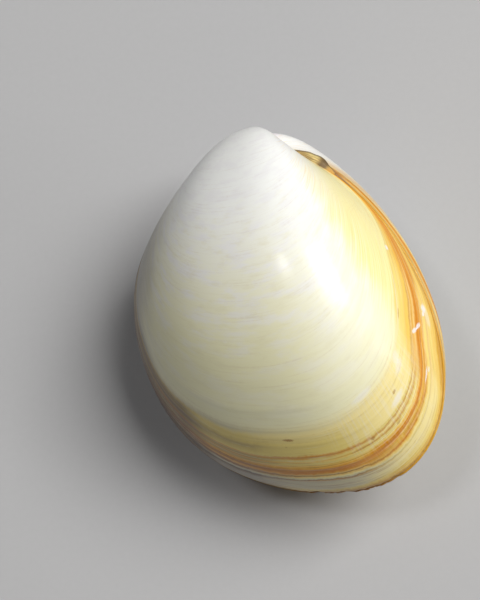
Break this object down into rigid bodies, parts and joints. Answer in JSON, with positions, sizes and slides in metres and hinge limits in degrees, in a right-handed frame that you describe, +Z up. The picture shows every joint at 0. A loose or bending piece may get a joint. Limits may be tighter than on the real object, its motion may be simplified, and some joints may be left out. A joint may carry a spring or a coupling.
{
  "type": "smooth cockle shell",
  "caption": "Closed smooth cockle shell: two deep, glossy hollow valves with low growth ledges, joined at the beaks by a short horny ligament.",
  "frame": {"origin": "Bottom centre of the bounding box, on the ground the shell lies on", "axes": "+Z up, with the shell lying on the bulge of its right valve; +Y from the middle of the lower lip towards the beaks; +X towards the back end, where the ligament is"},
  "size_m": [0.0526, 0.0602, 0.0437],
  "materials": {
    "left_valve": "smooth glossy shell, cream with khaki, orange-brown and grey growth bands near the lip",
    "right_valve": "smooth glossy shell, cream to pinkish orange",
    "ligament": "dry brown horny band, satin"
  },
  "bodies": {
    "root": {"left_valve": "left_valve", "right_valve": "right_valve", "ligament": "ligament"}
  },
  "joints": []
}
